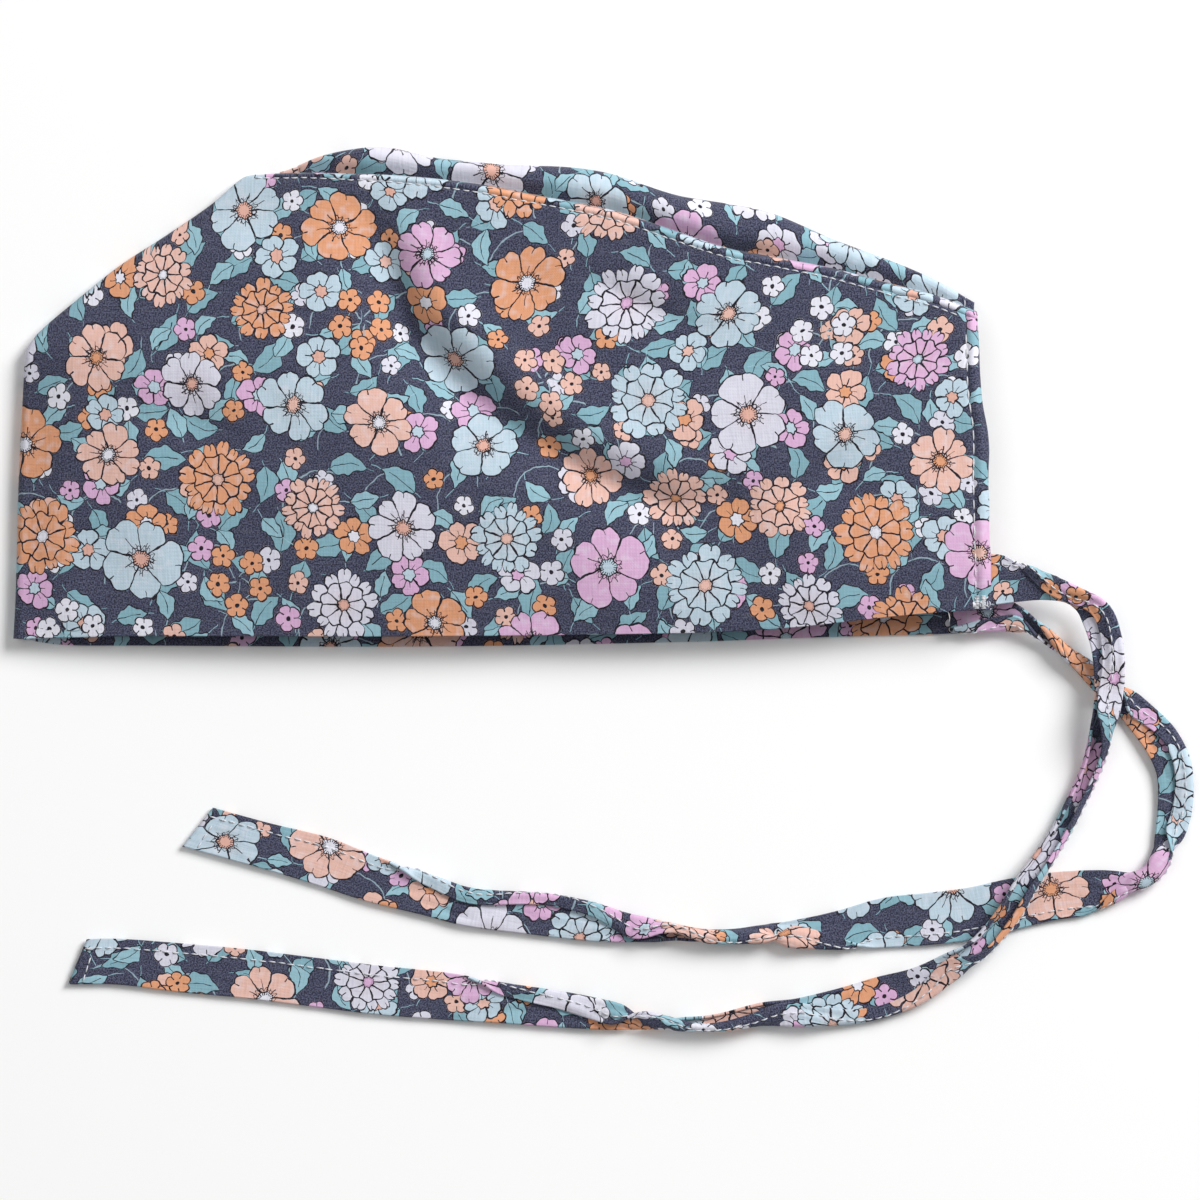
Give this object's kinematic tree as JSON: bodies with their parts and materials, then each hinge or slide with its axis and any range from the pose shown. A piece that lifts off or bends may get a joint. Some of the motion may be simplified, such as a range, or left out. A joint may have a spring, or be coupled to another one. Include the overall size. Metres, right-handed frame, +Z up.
{
  "type": "tie-back scrub cap",
  "caption": "Tie-back scrub cap of printed cotton, lying flat on its side with both ties laid out beside it.",
  "frame": {"origin": "the middle of the lying cap's box, without its ties, on the surface that it lies on", "axes": "+Z up from the surface, -X towards the front fold, +X towards the back opening, +Y towards the crown, -Y out of the head opening"},
  "size_m": [0.3539, 0.2654, 0.0188],
  "materials": {
    "printed_cotton": "matte plain-weave cotton with a small floral print",
    "thread": "pale polyester sewing thread"
  },
  "bodies": {
    "root": {"side_band": "printed_cotton", "crown": "printed_cotton", "tie_left": "printed_cotton", "tie_right": "printed_cotton"}
  },
  "joints": []
}
